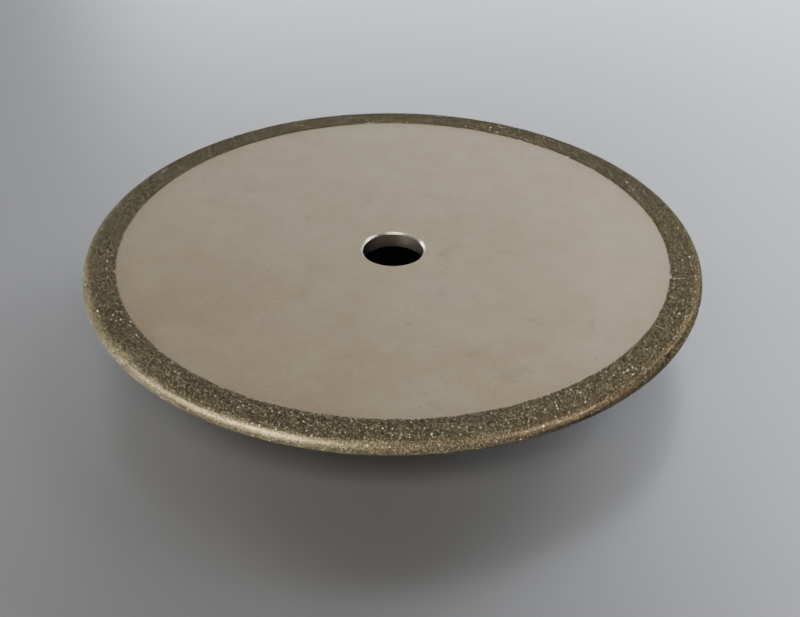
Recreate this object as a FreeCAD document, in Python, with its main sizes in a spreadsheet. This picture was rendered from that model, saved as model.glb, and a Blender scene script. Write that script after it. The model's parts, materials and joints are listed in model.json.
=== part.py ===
import FreeCAD, Part
import math
import os
import Sketcher

# Electroplated diamond grinding wheel: a flat turned steel disc with a full-round
# rim, a nickel bond grown over the rim, and one layer of diamond held by the bond.
# The wheel's axis is +Z. The origin is the centre of the bore, at mid-thickness.

document = FreeCAD.newDocument("diamond_grinding_wheel")

# Driving dimensions, in millimetres.
DRIVING = [
    ("wheel_diameter", "200", "over the diamond"),
    ("core_thickness", "5.8", "between the core's two clamping faces"),
    ("bore_diameter", "20", "hole for the spindle"),
    ("bore_chamfer", "0.6", "45 degree chamfer at both mouths of the bore"),
    ("band_width", "10.3", "radial width of the diamond band, in from the rim"),
    ("seat_depth", "0.2", "how far the rim is turned down to seat the bond"),
    ("bond_thickness", "0.26", "nickel grown on the seat"),
    ("grit_stand", "0.14", "how far the diamond stands out of the nickel"),
]
sheet = document.addObject("Spreadsheet::Sheet", "sizes")
for row, (alias, value, meaning) in enumerate(DRIVING, start=1):
    sheet.set(f"A{row}", meaning)
    sheet.set(f"B{row}", value)
    sheet.setAlias(f"B{row}", alias)
document.recompute()

# What follows from the driving dimensions, as expressions. A level is a height
# above the wheel's middle plane, and also a radius about the centre of the nose,
# because the rim is one half round from face to face.
BORE_RADIUS = "(sizes.bore_diameter / 2)"
BAND_INNER = "(sizes.wheel_diameter / 2 - sizes.band_width)"
FACE_LEVEL = "(sizes.core_thickness / 2)"
SEAT_LEVEL = f"({FACE_LEVEL} - sizes.seat_depth)"
BOND_LEVEL = f"({SEAT_LEVEL} + sizes.bond_thickness)"
GRIT_LEVEL = f"({BOND_LEVEL} + sizes.grit_stand)"
NOSE_CENTRE = f"(sizes.wheel_diameter / 2 - {GRIT_LEVEL})"

# How an outline leaves a corner: along a straight edge, or round the nose.
STRAIGHT, NOSE_DOWN, NOSE_UP = "straight", "nose_down", "nose_up"

# The points of a sketch edge, in the sketcher's own numbering.
START, END, CENTRE = 1, 2, 3
SKETCH_ORIGIN = (-1, 1)

TURN = 360
TOLERANCE = 1e-6


def below(level):
    """The same level under the wheel's middle plane."""
    return f"-{level}"


def origin_feature(body, role):
    """One of the body's own origin planes or axes."""
    return next(item for item in body.Origin.OriginFeatures if item.Role == role)


def first_guess(expression):
    """An expression's value as a plain number, for the first drawing of an edge."""
    value = sheet.evalExpression(expression)
    return float(getattr(value, "Value", value))


def tie_corner(sketch, number, edge_end, radius, height):
    """Binds a corner of the outline to its radius and its height."""
    for kind, name, expression in (("DistanceX", "radius", radius), ("DistanceY", "height", height)):
        value = first_guess(expression)
        index = sketch.addConstraint(Sketcher.Constraint(kind, *SKETCH_ORIGIN, *edge_end, value))
        sketch.renameConstraint(index, f"{name}_{number}")
        sketch.setExpression(f"Constraints.{name}_{number}", expression)


def draw_section(sketch, corners):
    """Draws a closed half-section from corners of (radius, height, way to the next)."""
    following = corners[1:] + corners[:1]
    ends = []
    for (radius, height, way), (next_radius, next_height, _) in zip(corners, following):
        here = FreeCAD.Vector(first_guess(radius), first_guess(height), 0)
        there = FreeCAD.Vector(first_guess(next_radius), first_guess(next_height), 0)
        if way == STRAIGHT:
            sketch.addGeometry(Part.LineSegment(here, there))
        else:
            nose = Part.Circle((here + there) / 2, FreeCAD.Vector(0, 0, 1), (here - there).Length / 2)
            sketch.addGeometry(Part.ArcOfCircle(nose, -math.pi / 2, math.pi / 2))
        ends.append((END, START) if way == NOSE_DOWN else (START, END))
    for edge, (radius, height, way) in enumerate(corners):
        next_edge = (edge + 1) % len(corners)
        joined = (edge, ends[edge][1], next_edge, ends[next_edge][0])
        sketch.addConstraint(Sketcher.Constraint("Coincident", *joined))
        tie_corner(sketch, edge, (edge, ends[edge][0]), radius, height)
        if way != STRAIGHT:
            plumb = (edge, CENTRE, edge, ends[edge][0])
            sketch.addConstraint(Sketcher.Constraint("Vertical", *plumb))


def turned_body(label, corners):
    """A body made as one full turn of a half-section about the wheel's axis."""
    body = document.addObject("PartDesign::Body", label)
    body.Label = label
    body.Placement = FreeCAD.Placement()
    sketch = body.newObject("Sketcher::SketchObject", f"{label}_section")
    sketch.AttachmentSupport = [(origin_feature(body, "XZ_Plane"), "")]
    sketch.MapMode = "FlatFace"
    draw_section(sketch, corners)
    turned = body.newObject("PartDesign::Revolution", f"{label}_turned")
    turned.Profile = sketch
    turned.ReferenceAxis = (origin_feature(body, "Z_Axis"), [""])
    turned.Angle = TURN
    document.recompute()
    return body


def steel_core():
    """The turned disc: flat faces, a plain bore, and a rim turned down as a seat."""
    body = turned_body(
        "steel_core",
        [
            (BORE_RADIUS, FACE_LEVEL, STRAIGHT),
            (BAND_INNER, FACE_LEVEL, STRAIGHT),
            (BAND_INNER, SEAT_LEVEL, STRAIGHT),
            (NOSE_CENTRE, SEAT_LEVEL, NOSE_DOWN),
            (NOSE_CENTRE, below(SEAT_LEVEL), STRAIGHT),
            (BAND_INNER, below(SEAT_LEVEL), STRAIGHT),
            (BAND_INNER, below(FACE_LEVEL), STRAIGHT),
            (BORE_RADIUS, below(FACE_LEVEL), STRAIGHT),
        ],
    )
    blank = body.Tip
    bore = first_guess(BORE_RADIUS)
    mouths = [
        f"Edge{index}"
        for index, edge in enumerate(blank.Shape.Edges, start=1)
        if isinstance(edge.Curve, Part.Circle) and abs(edge.Curve.Radius - bore) < TOLERANCE
    ]
    chamfer = body.newObject("PartDesign::Chamfer", "bore_mouths")
    chamfer.Base = (blank, mouths)
    chamfer.setExpression("Size", "sizes.bore_chamfer")
    document.recompute()
    if chamfer.Shape.Volume >= blank.Shape.Volume:
        raise RuntimeError("the bore's chamfers cut nothing")
    return body


def nickel_bond():
    """The nickel skin, in one piece from the upper band round the nose to the lower."""
    return turned_body(
        "nickel_bond",
        [
            (BAND_INNER, SEAT_LEVEL, STRAIGHT),
            (BAND_INNER, BOND_LEVEL, STRAIGHT),
            (NOSE_CENTRE, BOND_LEVEL, NOSE_DOWN),
            (NOSE_CENTRE, below(BOND_LEVEL), STRAIGHT),
            (BAND_INNER, below(BOND_LEVEL), STRAIGHT),
            (BAND_INNER, below(SEAT_LEVEL), STRAIGHT),
            (NOSE_CENTRE, below(SEAT_LEVEL), NOSE_UP),
            (NOSE_CENTRE, SEAT_LEVEL, STRAIGHT),
        ],
    )


def grit_band(label, inner_level, outer_level):
    """The diamond on one face, as the layer that the crystals' tops fill."""
    return turned_body(
        label,
        [
            (BAND_INNER, inner_level, STRAIGHT),
            (BAND_INNER, outer_level, STRAIGHT),
            (NOSE_CENTRE, outer_level, STRAIGHT),
            (NOSE_CENTRE, inner_level, STRAIGHT),
        ],
    )


def grit_nose():
    """The diamond round the rim, as the layer that the crystals' tops fill."""
    return turned_body(
        "grit_nose",
        [
            (NOSE_CENTRE, BOND_LEVEL, STRAIGHT),
            (NOSE_CENTRE, GRIT_LEVEL, NOSE_DOWN),
            (NOSE_CENTRE, below(GRIT_LEVEL), STRAIGHT),
            (NOSE_CENTRE, below(BOND_LEVEL), NOSE_UP),
        ],
    )


def check_document():
    """Stops the build if any object of the document failed to recompute."""
    for item in document.Objects:
        if {"Invalid", "Error"} & set(item.State):
            raise RuntimeError(f"{item.Name} is {item.State}")


def write_node(body):
    """Writes a sub-part's shape under its own name, once it is known to be sound."""
    shape = body.Shape
    if shape.isNull() or not shape.isValid() or len(shape.Solids) != 1:
        raise RuntimeError(f"{body.Label} is not one sound solid")
    shape.exportStep(os.path.join("parts", f"{body.Label}.step"))
    box = shape.optimalBoundingBox(False, False)
    print(
        f"{body.Label}: {shape.Volume:.1f} cubic mm, "
        f"radius {box.XMax:.3f}, heights {box.ZMin:.3f} to {box.ZMax:.3f}"
    )


bodies = [
    steel_core(),
    nickel_bond(),
    grit_band("grit_upper_band", BOND_LEVEL, GRIT_LEVEL),
    grit_nose(),
    grit_band("grit_lower_band", below(BOND_LEVEL), below(GRIT_LEVEL)),
]
document.recompute()
check_document()
os.makedirs("parts", exist_ok=True)
for body in bodies:
    write_node(body)
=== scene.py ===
# %% [markdown]
# # An electroplated diamond grinding wheel
# The wheel is a flat steel disc whose rim carries one layer of diamond crystals, held in nickel
# that was grown round them in a plating bath. This lesson dresses a finished CAD model of it.
# The first step loads that model, which gives every size and place used below, and keeps its
# box, because nothing that is added may make the wheel larger.

# %% Load the frame
import json
import math
import bpy
import numpy as np
from mathutils import Euler, Matrix, Vector


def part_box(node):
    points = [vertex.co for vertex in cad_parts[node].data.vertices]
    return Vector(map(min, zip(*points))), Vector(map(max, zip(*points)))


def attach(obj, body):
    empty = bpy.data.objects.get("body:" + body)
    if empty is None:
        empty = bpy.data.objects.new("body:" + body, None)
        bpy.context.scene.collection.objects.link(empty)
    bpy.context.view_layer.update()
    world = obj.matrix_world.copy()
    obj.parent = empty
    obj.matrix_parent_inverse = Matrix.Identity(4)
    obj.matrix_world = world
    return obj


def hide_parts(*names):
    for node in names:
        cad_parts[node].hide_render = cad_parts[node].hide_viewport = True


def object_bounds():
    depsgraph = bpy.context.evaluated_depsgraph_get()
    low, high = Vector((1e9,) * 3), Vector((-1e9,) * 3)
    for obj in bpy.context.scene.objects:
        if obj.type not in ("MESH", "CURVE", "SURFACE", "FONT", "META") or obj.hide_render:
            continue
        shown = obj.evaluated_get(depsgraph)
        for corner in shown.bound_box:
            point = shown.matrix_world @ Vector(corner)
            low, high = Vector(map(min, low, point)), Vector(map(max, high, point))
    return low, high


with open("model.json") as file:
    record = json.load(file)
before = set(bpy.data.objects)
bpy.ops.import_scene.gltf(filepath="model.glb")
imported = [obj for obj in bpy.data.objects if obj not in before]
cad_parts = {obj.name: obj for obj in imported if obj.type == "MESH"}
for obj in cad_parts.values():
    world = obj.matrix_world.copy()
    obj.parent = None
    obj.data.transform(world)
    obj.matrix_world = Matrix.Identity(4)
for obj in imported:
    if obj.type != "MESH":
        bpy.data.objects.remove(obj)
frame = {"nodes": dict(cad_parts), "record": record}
cad_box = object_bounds()
print("nodes:", sorted(frame["nodes"]))

# %% [markdown]
# ## The wheel's own sizes
# Every size of the wheel is read from the CAD model, so its pieces still fit if it is made
# larger or thicker: from the nodes' boxes and vertices, and for the bore from the record of its
# mount. A level is a height above the wheel's middle plane. On the half-round nose the same
# number is a radius about the nose's centre. The meshes are faceted, so the nose's centre is
# taken from the flat band's outer edge, along the axis where it has a vertex. The chamfer is
# what the bore's plain wall leaves of the core's thickness.

# %% Read the sizes
MM = 0.001
CLOSE = 0.02 * MM


def reach(node):
    """How far a node reaches from the wheel's axis, and its lowest and highest level."""
    low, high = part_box(node)
    return max(high.x, high.y, -low.x, -low.y), low.z, high.z


wheel_radius, _, grit_level = reach("grit_nose")
nose_centre, bond_level, _ = reach("grit_upper_band")
_, _, face_level = reach("steel_core")
bore = frame["record"]["mounts"][0]["dims"]
bore_radius = bore["r_mm"] * MM
bore_chamfer = face_level - bore["length_mm"] / 2 * MM


def inner_radius(node):
    """The smallest distance of a node's vertices from the wheel's axis."""
    return min(math.hypot(v.co.x, v.co.y) for v in frame["nodes"][node].data.vertices)


band_inner = inner_radius("grit_upper_band")
seat_level = min(
    abs(v.co.z)
    for v in frame["nodes"]["nickel_bond"].data.vertices
    if abs(math.hypot(v.co.x, v.co.y) - band_inner) < CLOSE
)
print("radii, mm:", [round(v / MM, 3) for v in (wheel_radius, nose_centre, band_inner, bore_radius)])
print("levels, mm:", [round(v / MM, 3) for v in (grit_level, bond_level, face_level, seat_level)])
print("chamfer, mm:", round(bore_chamfer / MM, 3))

# %% [markdown]
# ## Shader maths as plain expressions
# A procedural finish is a formula over the surface. Wiring dozens of Math nodes by hand hides
# that formula, so a small class wraps one socket and lets it be added, subtracted, multiplied
# and raised to a power like a number. A finish then reads as the sum it is.

# %% A socket that does arithmetic
class Wire:
    """The output of a shader node, used as a number in an expression."""

    def __init__(self, recipe, socket):
        self.recipe = recipe
        self.socket = socket

    def arithmetic(self, operation, *others, swapped=False):
        """A Math node on this number and the others, in their order or the other way round."""
        terms = [self, *others]
        if swapped:
            terms.reverse()
        return self.recipe.node("Math", {"operation": operation}, dict(enumerate(terms)))

    def __add__(self, other):
        return self.arithmetic("ADD", other)

    def __sub__(self, other):
        return self.arithmetic("SUBTRACT", other)

    def __rsub__(self, other):
        return self.arithmetic("SUBTRACT", other, swapped=True)

    def __mul__(self, other):
        return self.arithmetic("MULTIPLY", other)

    def __pow__(self, other):
        return self.arithmetic("POWER", other)

    def __rpow__(self, other):
        return self.arithmetic("POWER", other, swapped=True)

    __radd__ = __add__
    __rmul__ = __mul__

    def ramp(self, low, high):
        """0 below low, 1 above high, and a smooth step between them."""
        settings = {"interpolation_type": "SMOOTHSTEP"}
        sockets = {"Value": self, "From Min": low, "From Max": high}
        return self.recipe.node("MapRange", settings, sockets)


# %% [markdown]
# ## A finish as a recipe
# Every finish ends in one shader and starts from the same few things: the place on the piece, a
# noise of some size, a blend of two colours. A recipe holds the material and makes those by
# name. Any other node comes from its one general method, so the Blender details stay in here.

# %% A recipe for a finish
class Recipe:
    """A finish: one material and the nodes that make it."""

    def __init__(self, name):
        self.material = bpy.data.materials.new(name)
        self.material.use_nodes = True
        self.tree = self.material.node_tree
        self.tree.nodes.clear()

    def node(self, kind, settings=None, sockets=None, output=0):
        """Adds a node: its settings first, then a value or a wire for each socket."""
        made = self.tree.nodes.new("ShaderNode" + kind)
        for name, value in (settings or {}).items():
            setattr(made, name, value)
        for name, value in (sockets or {}).items():
            if isinstance(value, Wire):
                self.tree.links.new(value.socket, made.inputs[name])
            else:
                made.inputs[name].default_value = value
        return Wire(self, made.outputs[output]) if made.outputs else None

    def place(self):
        """The place on the piece, in millimetres."""
        here = self.node("TexCoord", output=3)
        return self.node("VectorMath", {"operation": "SCALE"}, {0: here, "Scale": 1 / MM})

    def split(self, vector):
        """The three numbers of a vector."""
        first = self.node("SeparateXYZ", sockets={0: vector})
        outputs = first.socket.node.outputs
        return [Wire(self, outputs[axis]) for axis in range(3)]

    def noise(self, vector, size, detail=2.0, rough=0.5, output=0, warp=0.0):
        """Soft noise about 0.5, whose blobs are about size millimetres across."""
        sockets = {
            "Vector": vector, "Scale": 1 / size, "Detail": detail, "Roughness": rough, "Distortion": warp,
        }
        return self.node("TexNoise", sockets=sockets, output=output)

    def mix(self, share, first, second):
        """A blend of two colours."""
        sockets = {0: share, 6: first, 7: second}
        return self.node("Mix", {"data_type": "RGBA"}, sockets, output=2)

    def tint(self, colour, strength):
        """A colour made lighter or darker by a number about 1."""
        sockets = {0: colour, "Scale": strength}
        return self.node("VectorMath", {"operation": "SCALE"}, sockets)

    def finish(self, **sockets):
        """Ends the recipe with the one shader that it feeds."""
        named = {name.replace("_", " "): value for name, value in sockets.items()}
        shader = self.node("BsdfPrincipled", sockets=named)
        self.node("OutputMaterial", sockets={"Surface": shader})
        return self.material


# %% [markdown]
# ## The satin nickel of the core
# The disc is turned flat, blasted, and given a thin nickel flash, so its faces are a warm matte
# grey with cloudy patches from the bath, a faint stain along the plated rim, a few dark pinholes
# and some smudges and streaks from handling. The bore and its chamfers are cut after that and
# stay bright, though the bore wall's colour is a darker copy of the cut steel: painted shade
# inside the bore. The chamfer's colour is painted lighter on one side than on the other, a
# painted highlight, and that side is also made smoother.
# One recipe makes both surfaces, and tells them apart by the distance from the axis. The sizes
# of its blobs are in millimetres.

# %% The core's finish
CLOUD_SIZE = 42.0
PATCH_SIZE = 8.0
MOTTLE_SIZE = 1.5
BLAST_SIZE = 0.30
PINHOLE_SPACING = 5.0
STAIN_REACH = 8.0
STREAK_HEADING = 0.35
TOOL_MARK_SIZE = 0.12
NICKEL_WARM = (0.184, 0.140, 0.079, 1)
NICKEL_MIDDLE = (0.177, 0.143, 0.084, 1)
NICKEL_COOL = (0.172, 0.143, 0.090, 1)
FRESH_CUT = (0.80, 0.76, 0.70, 1)
# The bore wall is a darker copy of the cut steel's colour: painted shade inside the bore.
BORE_WALL_PAINTED_SHADE = (0.38, 0.33, 0.26, 1)


def core_finish():
    made = Recipe("satin_nickel_core")
    place = made.place()
    x, y, z = made.split(place)
    radius = (x * x + y * y) ** 0.5
    clouds = made.noise(place, CLOUD_SIZE, detail=4.0, rough=0.6, warp=0.6)
    patches = made.noise(place, PATCH_SIZE, detail=4.0, rough=0.6)
    mottle = made.noise(place, MOTTLE_SIZE, detail=3.0, rough=0.7)
    shade = 0.455 + 0.28 * clouds + 0.30 * patches + 0.40 * mottle
    warm = made.mix(patches.ramp(0.35, 0.65), NICKEL_WARM, NICKEL_MIDDLE)
    face = made.mix(clouds.ramp(0.38, 0.66), warm, NICKEL_COOL)
    spots = {"Vector": place, "Scale": 1 / PINHOLE_SPACING, "Randomness": 1.0}
    pits = made.node("TexVoronoi", {"feature": "F1"}, spots)
    pinhole = (1 - pits.ramp(0.030, 0.075)) * made.noise(place, 19.0).ramp(0.47, 0.53)
    smudge = made.noise(place, 11.0, detail=3.0, warp=0.5).ramp(0.63, 0.72)
    along_lanes = {"Vector": place, "Rotation": (0, 0, STREAK_HEADING), "Scale": (0.02, 0.9, 1)}
    lanes = made.node("Mapping", sockets=along_lanes)
    streak = made.noise(lanes, 1.0, detail=3.0).ramp(0.66, 0.74) * made.noise(place, 15.0).ramp(0.48, 0.6)
    stain = radius.ramp(band_inner / MM - STAIN_REACH, band_inner / MM)
    marks = (1 - 0.55 * pinhole) * (1 - 0.12 * smudge) * (1 - 0.15 * streak) * (1 - 0.08 * stain)
    face = made.tint(face, shade * marks)
    mouth = (bore_radius + bore_chamfer) / MM
    machined = 1 - radius.ramp(mouth - 0.08, mouth + 0.04)
    unrolled = made.node("CombineXYZ", sockets={0: radius, 1: z, 2: 0.0})
    turned = made.noise(unrolled, TOOL_MARK_SIZE, detail=3.0)
    wall = 1 - radius.ramp(bore_radius / MM + 0.01, bore_radius / MM + 0.12)
    # The bore wall takes the darker colour, painted shade inside the bore; the chamfer keeps the fresh
    # cut.
    bright = made.mix(wall, FRESH_CUT, BORE_WALL_PAINTED_SHADE)
    # The chamfer's colour is painted lighter on the side that faces the back and a little to the right,
    # and darker elsewhere: a painted highlight. That side is also made smoother.
    painted_highlight_side = (0.3 * x + 0.95 * y).ramp(0.0, 9.0)
    bright = made.tint(bright, (0.85 + 0.3 * turned) * (0.10 + 0.90 * painted_highlight_side + 0.25 * wall))
    colour = made.mix(machined, face, bright)
    grain = made.noise(place, BLAST_SIZE, detail=3.0, rough=0.7)
    height = (1 - machined) * (grain * 0.5 + mottle * 0.5 - pinhole * 0.8) + machined * turned * 0.4
    bump = made.node("Bump", sockets={"Strength": 0.35, "Distance": 0.02 * MM, "Height": height})
    tooled = 0.16 + 0.12 * turned + 0.42 * (1 - painted_highlight_side) * (1 - wall)
    rough = (1 - machined) * (0.46 + 0.14 * clouds + 0.12 * mottle) + machined * tooled
    return made.finish(Base_Color=colour, Roughness=rough, Metallic=0.85, Normal=bump)


core = frame["nodes"]["steel_core"]
core.data.materials.clear()
core.data.materials.append(core_finish())
print("core finish on", core.name)

# %% [markdown]
# ## The line that the plating follows
# Seen in section, the plated rim runs in along the upper band, round the half-round nose and
# back along the lower band. The nickel and every crystal sit on that one line, so it is written
# once, as a point for any distance along it. The masked edge of the plating is never a drawn
# circle, and a few sine waves of random phase give it an uneven line.

# %% The section of the plated rim
WAVES = 18
WAVE_COUNTS = (40, 460)


def section_point(along, level):
    """The radius and height of a point on the rim, along the section from the upper edge."""
    flat = nose_centre - band_inner
    arc = math.pi * level
    if along <= flat:
        return band_inner + along, level
    if along >= flat + arc:
        return nose_centre - (along - flat - arc), -level
    turn = (along - flat) / level
    return nose_centre + level * math.sin(turn), level * math.cos(turn)


def section_length(level):
    """The length of the section from the upper edge to the lower edge."""
    return 2 * (nose_centre - band_inner) + math.pi * level


def wander(angle, seed):
    """A slow uneven line round the wheel, about 0 and of about unit height."""
    draw = np.random.default_rng(seed)
    counts = draw.integers(*WAVE_COUNTS, WAVES)
    phases = draw.uniform(0, 2 * np.pi, WAVES)
    waves = [np.sin(angle * count + phase) for count, phase in zip(counts, phases)]
    return sum(waves) / math.sqrt(WAVES / 2)


def mesh_piece(name, points, faces):
    """A mesh object from plain lists."""
    mesh = bpy.data.meshes.new(name)
    mesh.from_pydata(points, [], faces)
    mesh.update()
    piece = bpy.data.objects.new(name, mesh)
    bpy.context.scene.collection.objects.link(piece)
    return piece


print("section of the rim, mm:", round(section_length(bond_level) / MM, 2))

# %% [markdown]
# ## The nickel between the crystals
# Nickel grows over the bare steel as one even skin, and it creeps in over the edge of the masked
# face in an uneven line. The skin's section, its outer side out and its inner side back, is
# swept once round the axis, as a lathe would turn it. A thin solid is used and not a painted
# band, because the step from the face up to the nickel catches the light.

# %% Sweep the nickel skin
PLATE_STEPS = 1400
PLATE_RUNS = 9
NOSE_RUNS = 16
EDGE_WANDER = 0.10 * MM
EDGE_FADE = 1.0 * MM
UPPER_SEED = 3
LOWER_SEED = 4


def skin_section(level):
    """Points of (radius, height) along one side of the skin, from upper edge to lower edge."""
    flat = nose_centre - band_inner
    stops = [flat * step / PLATE_RUNS for step in range(PLATE_RUNS)]
    stops += [flat + math.pi * level * step / NOSE_RUNS for step in range(NOSE_RUNS)]
    stops += [flat + math.pi * level + flat * step / PLATE_RUNS for step in range(PLATE_RUNS + 1)]
    return [section_point(stop, level) for stop in stops]


def wrapped_map(piece, steps, count):
    """A map that unrolls a sweep: once round the section one way, once round the wheel the other."""
    step, side = np.divmod(np.arange(steps * count), count)
    corners = [(step, side), (step, side + 1), (step + 1, side + 1), (step + 1, side)]
    places = np.stack([np.stack([s / steps, k / count], 1) for s, k in corners], 1)
    layer = piece.data.uv_layers.new(name="OFBake")
    layer.data.foreach_set("uv", places.astype(np.float32).ravel())


def nickel_skin():
    loop = skin_section(bond_level) + skin_section(seat_level)[::-1]
    angles = np.linspace(0, 2 * np.pi, PLATE_STEPS, endpoint=False)
    seeds = {1: UPPER_SEED, -1: LOWER_SEED}
    edge = {side: -abs(wander(angles, seed)) * EDGE_WANDER for side, seed in seeds.items()}
    points = []
    for index, angle in enumerate(angles):
        for radius, height in loop:
            side = 1 if height > 0 else -1
            closeness = max(0.0, 1 - (radius - band_inner) / EDGE_FADE)
            radius = radius + edge[side][index] * closeness
            points.append((radius * math.cos(angle), radius * math.sin(angle), height))
    count = len(loop)
    faces = []
    for step in range(PLATE_STEPS):
        here, there = step * count, (step + 1) % PLATE_STEPS * count
        for side in range(count):
            after = (side + 1) % count
            faces.append((here + side, here + after, there + after, there + side))
    piece = mesh_piece("nickel_plate", points, faces)
    piece.data.polygons.foreach_set("use_smooth", [True] * len(faces))
    wrapped_map(piece, PLATE_STEPS, count)
    return piece


plate = nickel_skin()
print("nickel plate:", len(plate.data.polygons), "faces")

# %% [markdown]
# ## The finish of the nickel
# Plated nickel of this kind is a dark, slightly yellow metal, and its skin is a crowd of small
# rounded nodules. Cells of a smooth Voronoi pattern, raised by a bump, are those nodules, and
# the same cells make the colour darker on the nodules' tops and lighter in the hollows between
# them. A metal turns white where it is seen at a shallow angle, but a rough skin hides those
# angles from view, so a dark edge tint holds that back.

# %% The nickel's finish
EDGE_TINT = (0.34, 0.325, 0.245, 1)
NODULE_SIZE = 0.22
DARK_BATH = (0.060, 0.049, 0.027, 1)
LIGHT_BATH = (0.090, 0.075, 0.044, 1)


def nickel_finish():
    made = Recipe("nodular_nickel")
    place = made.place()
    cells = {"Vector": place, "Scale": 1 / NODULE_SIZE, "Smoothness": 0.6}
    nodules = made.node("TexVoronoi", {"feature": "SMOOTH_F1"}, cells)
    tone = made.noise(place, 14.0, detail=3.0)
    soot = made.noise(place, 0.5, detail=2.0)
    colour = made.mix(tone, DARK_BATH, LIGHT_BATH)
    colour = made.tint(colour, 0.6 + 0.5 * nodules + 0.3 * soot)
    bump = made.node("Bump", sockets={"Strength": 0.8, "Distance": 0.05 * MM, "Height": 1 - nodules})
    rough = 0.34 + 0.2 * soot
    return made.finish(
        Base_Color=colour, Roughness=rough, Metallic=0.9, Specular_Tint=EDGE_TINT, Normal=bump
    )


plate.data.materials.append(nickel_finish())
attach(plate, "root")
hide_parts("nickel_bond")
print("nickel finish on", plate.name)

# %% [markdown]
# ## One layer of diamond
# The rim carries about 125 thousand crystals, each roughly a third of a millimetre. A bump map
# would look like sandpaper and would never sparkle, because a sparkle is one flat facet that
# happens to mirror a lamp. So every crystal is a small closed solid of its own. They are built
# as arrays of numbers, since that many separate objects would be far too slow.

# %% Crystal shapes
def bipyramid(sides, crown, waist, table):
    """A blocky crystal: a flat table, a belt of sides at the waist, and a pointed foot."""
    turn = 2 * math.pi / sides
    points = [(table * math.cos(k * turn), table * math.sin(k * turn), crown) for k in range(sides)]
    points += [(math.cos(k * turn), math.sin(k * turn), waist) for k in range(sides)]
    points.append((0.0, 0.0, -1.0))
    foot = 2 * sides
    faces = [(0, k, k + 1) for k in range(1, sides - 1)]
    for k in range(sides):
        after = (k + 1) % sides
        faces += [(k, sides + k, sides + after), (k, sides + after, after)]
        faces.append((sides + k, foot, sides + after))
    return np.array(points), np.array(faces)


def octahedron():
    """The plain eight-sided crystal, resting on one of its faces."""
    points, turn, half_height = [], math.pi / 3, 0.58
    for level, start in ((half_height, 0.0), (-half_height, turn)):
        angles = [start + 2 * k * turn for k in range(3)]
        points += [(math.cos(angle), math.sin(angle), level) for angle in angles]
    faces = [(0, 1, 2), (5, 4, 3)]
    for k in range(3):
        after = (k + 1) % 3
        faces += [(k, 3 + k, after), (3 + k, 3 + after, after)]
    return np.array(points), np.array(faces)


CRYSTALS = [
    (octahedron(), 0.55),
    (bipyramid(sides=4, crown=0.72, waist=0.10, table=0.55), 0.30),
    (bipyramid(sides=5, crown=0.66, waist=0.05, table=0.62), 0.15),
]
print("faces per crystal:", [len(shape[1]) for shape, _ in CRYSTALS])

# %% [markdown]
# ## Scattering the crystals
# Crystals tumble on to the rim in the bath and settle side by side on the steel, so they are
# evenly crowded but never in rows. Rings one spacing apart, each filled at that spacing from a
# random start, and then shaken by a third of it, give that. A few strays past the masked edge
# make the inner rim ragged, as the bath leaves it. One crystal in each short run of every
# fourth ring is a clear, polished one. They are kept apart because a sparkle is only seen as a
# sparkle when the grains round it are dull.

# %% Scatter them
GRAIN = 0.36 * MM
RING_SPACING = 0.9
SHAKE = 0.34
STRAY = 0.35 * MM
DULL_TONES = (0.0, 0.8)
CLEAR_TONES = (0.88, 1.0)
GLINT_RINGS = 4
GLINT_GROUP = 7


def ring_places(draw):
    """The path along the section, the angle round the wheel and the tone of every crystal."""
    length = section_length(bond_level)
    rings = int(length / (GRAIN * RING_SPACING))
    along, around, tones = [], [], []
    for ring in range(rings + 1):
        middle = length * ring / rings
        radius = section_point(middle, bond_level)[0]
        count = int(2 * math.pi * radius / GRAIN)
        angles = (np.arange(count) + draw.uniform(0, 1)) * 2 * np.pi / count
        angles += draw.uniform(-SHAKE, SHAKE, count) * GRAIN / radius
        tone = draw.uniform(*DULL_TONES, count)
        if ring % GLINT_RINGS == 0:
            starts = np.arange(0, count - GLINT_GROUP, GLINT_GROUP)
            clear_tones = draw.uniform(*CLEAR_TONES, len(starts))
            tone[starts + draw.integers(0, GLINT_GROUP - 1, len(starts))] = clear_tones
        around.append(angles)
        along.append(middle + draw.uniform(-SHAKE, SHAKE, count) * GRAIN)
        tones.append(tone)
    for edge, inward in ((0.0, -1), (length, 1)):
        count = int(2 * math.pi * band_inner / GRAIN)
        around.append(draw.uniform(0, 2 * np.pi, count))
        along.append(edge + inward * draw.uniform(0, 1, count) ** 1.5 * STRAY)
        tones.append(draw.uniform(*DULL_TONES, count))
    return np.concatenate(along), np.concatenate(around), np.concatenate(tones)


print("rings of crystals:", int(section_length(bond_level) / (GRAIN * RING_SPACING)) + 1)

# %% [markdown]
# ## Standing them on the rim
# A crystal's foot is on the turned steel, and its height is square to the steel: straight up on
# the flat band and fanned out round the nose. So each crystal needs a place and three
# directions of its own. It is spun at random and tipped only a little, because a blocky crystal
# comes to rest on one of its faces.

# %% Stand them on the rim
def rim_frames(along, around):
    """The foot and the outward, round and along directions of the rim at each crystal."""
    flat, level = nose_centre - band_inner, bond_level
    arc = math.pi * level
    turn = np.clip((along - flat) / level, 0, math.pi)
    upper = along < flat
    lower = along > flat + arc
    radius = nose_centre + seat_level * np.sin(turn)
    radius = np.where(upper, band_inner + along, radius)
    radius = np.where(lower, nose_centre - (along - flat - arc), radius)
    height = seat_level * np.cos(turn)
    cos, sin = np.cos(around), np.sin(around)
    foot = np.stack([radius * cos, radius * sin, height], 1)
    outward = np.stack([np.sin(turn) * cos, np.sin(turn) * sin, np.cos(turn)], 1)
    round_ = np.stack([-sin, cos, np.zeros_like(cos)], 1)
    return foot, outward, round_, np.cross(outward, round_)


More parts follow.
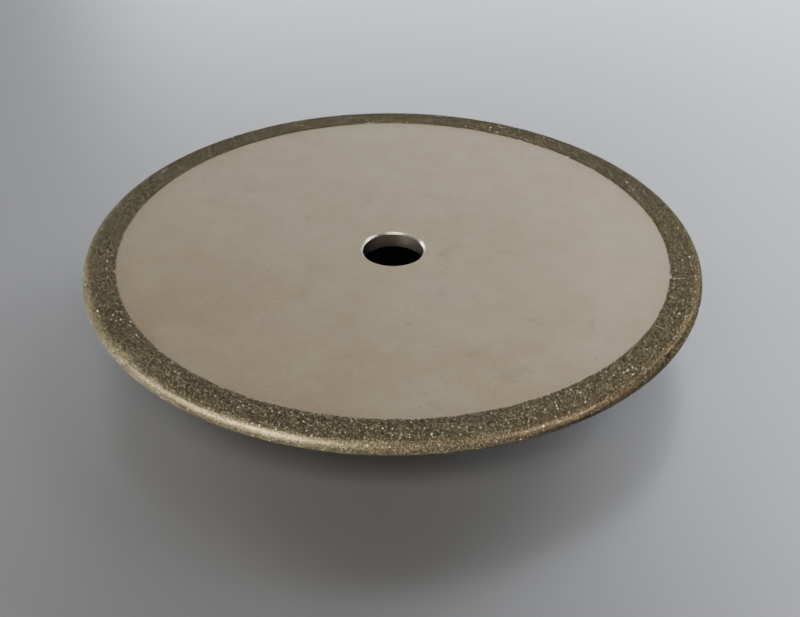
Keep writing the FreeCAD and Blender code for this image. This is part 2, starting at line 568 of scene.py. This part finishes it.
def random_turns(draw, count, tilt):
    """A random rotation for each crystal: any way round, and tipped by about tilt."""
    spin, lean = draw.uniform(0, 2 * np.pi, count), np.abs(draw.normal(0, tilt, count))
    toward = draw.uniform(0, 2 * np.pi, count)
    axis = np.stack([np.cos(toward), np.sin(toward), np.zeros(count)], 1)
    cos, sin = np.cos(lean)[:, None, None], np.sin(lean)[:, None, None]
    skew = np.zeros((count, 3, 3))
    skew[:, 0, 1], skew[:, 0, 2] = -axis[:, 2], axis[:, 1]
    skew[:, 1, 0], skew[:, 1, 2] = axis[:, 2], -axis[:, 0]
    skew[:, 2, 0], skew[:, 2, 1] = -axis[:, 1], axis[:, 0]
    tip = np.eye(3) + sin * skew + (1 - cos) * (skew @ skew)
    twist = np.zeros((count, 3, 3))
    twist[:, 0, 0], twist[:, 0, 1] = np.cos(spin), -np.sin(spin)
    twist[:, 1, 0], twist[:, 1, 1], twist[:, 2, 2] = np.sin(spin), np.cos(spin), 1
    return tip @ twist


print("crystals stand on a seat at level", round(seat_level / MM, 3), "mm")

# %% [markdown]
# ## Growing them to size
# No two crystals are alike, so each shape is stretched and its corners are moved a little. The
# top reaches to somewhere between the nickel and the level that the CAD model gives the
# diamond. The clear ones are narrower, so that their glints are points. Nothing may stand past
# the model's box, so the few tips that would are dressed back to it.

# %% Grow them to size
SIZE_SPREAD = (0.8, 1.2)
CORNER_SHAKE = 0.06
TILT = 0.15
WIDTHS = (0.44, 0.62)
CLEAR_TONE = 0.85
CLEAR_WIDTH = 0.72
LEAST_SHOWING = 0.05 * MM
MARGIN = 0.001 * MM
SAFE_RADIUS = min(abs(corner[axis]) for corner in cad_box for axis in (0, 1)) - MARGIN
SAFE_LEVEL = min(abs(corner[2]) for corner in cad_box) - MARGIN


def grown(draw, shape, frames, tone):
    """Every crystal of one shape, as an array of crystals by points by three."""
    points, _ = shape
    foot, outward, round_, across = frames
    count = len(foot)
    size = draw.uniform(*SIZE_SPREAD, (count, 1, 3)) * points[None]
    size = size + draw.normal(0, CORNER_SHAKE, (count, len(points), 3))
    turned = np.einsum("cij,cpj->cpi", random_turns(draw, count, TILT), size)
    low, high = turned[..., 2].min(1), turned[..., 2].max(1)
    showing = draw.uniform(LEAST_SHOWING, grit_level - bond_level, count)
    tall = (bond_level - seat_level + showing) / (high - low)
    wide = draw.uniform(*WIDTHS, count) * GRAIN * np.where(tone > CLEAR_TONE, CLEAR_WIDTH, 1.0)
    up = (turned[..., 2] - low[:, None]) * tall[:, None]
    side, ahead = turned[..., 0] * wide[:, None], turned[..., 1] * wide[:, None]
    offset = up[..., None] * outward[:, None] + side[..., None] * round_[:, None]
    solid = foot[:, None] + offset + ahead[..., None] * across[:, None]
    beyond = np.hypot(solid[..., 0], solid[..., 1]) / SAFE_RADIUS
    solid[..., :2] /= np.maximum(beyond, 1.0)[..., None]
    solid[..., 2] = np.clip(solid[..., 2], -SAFE_LEVEL, SAFE_LEVEL)
    return solid


print("crystal widths, mm:", [round(2 * width * GRAIN / MM, 2) for width in WIDTHS])

# %% [markdown]
# ## The finish of the diamond
# Blocky yellow-green diamond sunk in nickel looks like dark olive metal with sparks in it: the
# facets mirror the room and the inside stays dark. So the finish is a dark mirror, not a glass.
# Each crystal carries a number of its own, its tone. Raised to the fourth power it leaves most
# crystals nearly black and a few of them straw coloured, which is the salt and pepper of real
# grit, and the last fifth of it turns to clear polished facets. Crystals stand at every angle,
# so they need the same dark edge tint as the nickel.

# %% The crystals' finish
DARK_GRAIN = (0.0125, 0.011, 0.007, 1)
STRAW_GRAIN = (0.42, 0.375, 0.225, 1)
CLEAR_GRAIN = (0.74, 0.74, 0.71, 1)


def diamond_finish():
    made = Recipe("diamond_crystals")
    tone = made.node("Attribute", {"attribute_name": "grain"}, output=2)
    colour = made.mix(tone ** 4.0, DARK_GRAIN, STRAW_GRAIN)
    polished = tone.ramp(0.82, 1.0)
    colour = made.mix(polished, colour, CLEAR_GRAIN)
    rough = 0.31 - 0.15 * polished
    return made.finish(Base_Color=colour, Roughness=rough, Metallic=0.9, Specular_Tint=EDGE_TINT)


diamond = diamond_finish()
print("finish:", diamond.name)

# %% [markdown]
# ## Crystals into pieces
# The crystals of one zone and one sector of the wheel are joined into one mesh, so that no
# piece is too heavy to handle. A mesh built from arrays is quick: all the corners first, then
# all the triangles. Each triangle keeps its crystal's tone, and a small patch of the map that
# is its crystal's alone, so a baked colour can't bleed from one crystal to the next.

# %% Join crystals into one mesh
PATCH = [(0.15, 0.15), (0.85, 0.15), (0.5, 0.85)]


def crystal_piece(name, blocks, numbers):
    """Joins blocks of crystals into one mesh, with each crystal's tone and patch of the map."""
    points = np.concatenate([block.reshape(-1, 3) for block, _ in blocks])
    faces, grains, cells, start, crystal = [], [], [], 0, 0
    for (block, shape_faces), drawn in zip(blocks, numbers):
        count, corners = block.shape[:2]
        shift = start + np.arange(count) * corners
        faces.append((shape_faces[None] + shift[:, None, None]).reshape(-1, 3))
        grains.append(np.repeat(drawn, len(shape_faces)))
        cells.append(np.repeat(np.arange(count) + crystal, len(shape_faces)))
        start += count * corners
        crystal += count
    faces, grains, cells = (np.concatenate(part) for part in (faces, grains, cells))
    mesh = bpy.data.meshes.new(name)
    mesh.vertices.add(len(points))
    mesh.vertices.foreach_set("co", points.astype(np.float32).ravel())
    mesh.loops.add(faces.size)
    mesh.loops.foreach_set("vertex_index", faces.astype(np.int32).ravel())
    mesh.polygons.add(len(faces))
    mesh.polygons.foreach_set("loop_start", np.arange(0, faces.size, 3, dtype=np.int32))
    mesh.update(calc_edges=True)
    number = mesh.attributes.new("grain", "FLOAT", "FACE")
    number.data.foreach_set("value", grains.astype(np.float32))
    across = math.ceil(math.sqrt(crystal))
    cell = np.stack([cells % across, cells // across], 1)
    places = (cell[:, None] + np.array(PATCH)[None]) / across
    patch = mesh.uv_layers.new(name="OFBake")
    patch.data.foreach_set("uv", places.astype(np.float32).ravel())
    mesh.materials.append(diamond)
    piece = bpy.data.objects.new(name, mesh)
    bpy.context.scene.collection.objects.link(piece)
    return piece


print("corners of each triangle in its crystal's cell of the map:", PATCH)

# %% [markdown]
# ## Planting the zones
# The CAD model has the diamond as three smooth layers: upper band, nose and lower band. The
# crystals are shared out in the same zones, so that each zone's crystals take the place of its
# layer, and each zone is cut into sectors like a cake. A draw decides which crystals get which
# shape, with the plain octahedron the most common, as it is in grit of this kind.

# %% Plant the crystals
CRYSTAL_SEED = 11
BAND_SECTORS = 4
NOSE_SECTORS = 5


def plant_crystals():
    """Makes every crystal piece, zone by zone, and returns how many crystals there are."""
    draw = np.random.default_rng(CRYSTAL_SEED)
    along, around, tones = ring_places(draw)
    flat, arc = nose_centre - band_inner, math.pi * bond_level
    zones = [
        ("grit_upper", "grit_upper_band", along < flat, BAND_SECTORS),
        ("grit_rim", "grit_nose", (along >= flat) & (along <= flat + arc), NOSE_SECTORS),
        ("grit_lower", "grit_lower_band", along > flat + arc, BAND_SECTORS),
    ]
    around = around % (2 * np.pi)
    total = 0
    for name, node, zone, sectors in zones:
        for sector in range(sectors):
            low, high = 2 * np.pi * sector / sectors, 2 * np.pi * (sector + 1) / sectors
            chosen = np.flatnonzero(zone & (around >= low) & (around < high))
            kinds = draw.choice(len(CRYSTALS), len(chosen), p=[share for _, share in CRYSTALS])
            blocks, numbers = [], []
            for kind, (shape, _) in enumerate(CRYSTALS):
                own = chosen[kinds == kind]
                frames = rim_frames(along[own], around[own])
                blocks.append((grown(draw, shape, frames, tones[own]), shape[1]))
                numbers.append(tones[own])
            piece = crystal_piece(f"{name}_{sector + 1}", blocks, numbers)
            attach(piece, "root")
            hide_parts(node)
            total += len(chosen)
            print(piece.name, len(chosen), "crystals,", len(piece.data.polygons), "faces")
    return total


print("crystals in all:", plant_crystals())

# %% [markdown]
# ## Floor and stand
# The wheel is shown level, a little above a pale satin floor, on a short dark tube that its own
# rim hides. The tube lets nothing be seen through the bore but darkness, so the bore looks
# deep. Both are stage furniture, and the stand stays just clear of the wheel.

# %% The floor and the stand
FLOOR_LEVEL = -24 * MM
FLOOR_HALF = 3000 * MM
STAND_RADIUS = 13.5 * MM
STAND_WALL = 1.5 * MM
STAND_GAP = 0.02 * MM
STAND_STEPS = 96
FLOOR_GREY = (0.20, 0.20, 0.20)
STAND_BLACK = (0.004, 0.004, 0.004, 1)


def floor_finish():
    made = Recipe("pale_floor")
    place = made.place()
    tone = made.noise(place, 90.0, detail=2.0)
    colour = made.tint(FLOOR_GREY, 0.97 + 0.06 * tone)
    return made.finish(Base_Color=colour, Roughness=0.40, Specular_IOR_Level=1.0)


def floor():
    corners = [(-1, -1), (1, -1), (1, 1), (-1, 1)]
    points = [(x * FLOOR_HALF, y * FLOOR_HALF, FLOOR_LEVEL) for x, y in corners]
    piece = mesh_piece("floor", points, [(0, 1, 2, 3)])
    piece.data.materials.append(floor_finish())


def stand():
    inner, top = STAND_RADIUS - STAND_WALL, -face_level - STAND_GAP
    rings = [(STAND_RADIUS, FLOOR_LEVEL), (STAND_RADIUS, top), (inner, top), (inner, FLOOR_LEVEL)]
    points, faces = [], []
    for step in range(STAND_STEPS):
        angle = 2 * math.pi * step / STAND_STEPS
        points += [(r * math.cos(angle), r * math.sin(angle), z) for r, z in rings]
        here, there = step * 4, (step + 1) % STAND_STEPS * 4
        faces += [(here + k, there + k, there + k + 1, here + k + 1) for k in range(3)]
    piece = mesh_piece("stand", points, faces)
    made = Recipe("dark_stand")
    piece.data.materials.append(made.finish(Base_Color=STAND_BLACK, Specular_IOR_Level=0.0))


floor()
stand()
print("floor at", round(FLOOR_LEVEL / MM, 1), "mm; stand", round(2 * STAND_RADIUS / MM, 1), "mm across")

# %% [markdown]
# ## Lights
# Six soft panels behind the wheel and one in front light the floor and the flat face. The rim
# is round, so each part of it mirrors a different part of the room. Four small panels low down
# give it its bright streak. They show only in mirror-like reflections, so that the streak casts
# no hard shadow on the floor.

# %% Lights
def lamp(name, place, size, watts, colour, glint=False):
    """A soft panel aimed at the wheel. A glint panel only shows as a mirror image in the metal."""
    light = bpy.data.lights.new(name, "AREA")
    light.shape = "RECTANGLE"
    light.size, light.size_y = size
    light.energy = watts
    light.color = colour
    panel = bpy.data.objects.new(name, light)
    panel.location = place
    panel.rotation_euler = (-Vector(place)).to_track_quat("-Z", "Y").to_euler()
    panel.visible_diffuse = not glint
    bpy.context.scene.collection.objects.link(panel)


COOL = (0.88, 0.915, 1.0)
PLAIN = (1.0, 0.98, 0.95)
WARM = (1.0, 0.82, 0.84)
lamp("low_middle", (0.0, 1.25, 0.20), (0.65, 0.30), 8.6, COOL)
lamp("low_right", (0.65, 1.25, 0.20), (0.65, 0.30), 11.9, COOL)
lamp("high_right", (0.65, 1.25, 1.05), (0.65, 0.60), 7.6, COOL)
lamp("high_left", (-0.65, 1.25, 1.05), (0.65, 0.60), 1.6, COOL)
lamp("far_right", (1.3, 1.25, 0.55), (0.65, 0.40), 31.0, COOL)
lamp("far_left", (-1.3, 1.25, 0.55), (0.65, 0.40), 15.5, PLAIN)
lamp("fill_front", (-0.15, -1.1, 1.2), (1.4, 0.6), 14.5, PLAIN)
lamp("glint_left", (-1.2, -0.25, 0.20), (0.35, 0.22), 42.0, PLAIN, glint=True)
lamp("glint_front", (-0.80, -0.93, 0.27), (0.29, 0.22), 102.0, PLAIN, glint=True)
lamp("glint_right", (0.95, -0.75, 0.24), (0.40, 0.25), 26.0, WARM, glint=True)
lamp("glint_side", (0.50, 0.20, 0.30), (0.20, 0.12), 3.4, PLAIN, glint=True)

ROOM_COLOUR = (0.86, 0.89, 0.86, 1)
ROOM_GLOW = 0.05
world = bpy.data.worlds.new("studio")
world.use_nodes = True
room = world.node_tree.nodes["Background"]
room.inputs["Color"].default_value = ROOM_COLOUR
room.inputs["Strength"].default_value = ROOM_GLOW
bpy.context.scene.world = world
print("lamps:", sorted(light.name for light in bpy.data.lights))

# %% [markdown]
# ## Camera
# The camera looks down on the wheel from in front, with a long lens that keeps the round rim
# from looking stretched. It leans a little, as a camera held by hand does.

# %% Camera
CAMERA_PLACE = Vector((-0.0052, -0.4118, 0.2585))
CAMERA_PITCH = math.radians(34.13)
CAMERA_YAW = math.radians(1.06)
CAMERA_ROLL = math.radians(0.49)
LENS = 66.8
SENSOR_WIDTH = 36.0
NEAREST_SEEN = 10 * MM

camera = bpy.data.cameras.new("camera")
camera.lens = LENS
camera.sensor_width = SENSOR_WIDTH
camera.clip_start = NEAREST_SEEN
camera_object = bpy.data.objects.new("camera", camera)
heading = Euler((math.pi / 2 - CAMERA_PITCH, 0, -CAMERA_YAW)).to_matrix()
turned = heading @ Matrix.Rotation(CAMERA_ROLL, 3, "Z")
camera_object.matrix_world = Matrix.Translation(CAMERA_PLACE) @ turned.to_4x4()
bpy.context.scene.collection.objects.link(camera_object)
bpy.context.scene.camera = camera_object
print("camera", round(CAMERA_PLACE.length / MM), "mm from the wheel's middle")
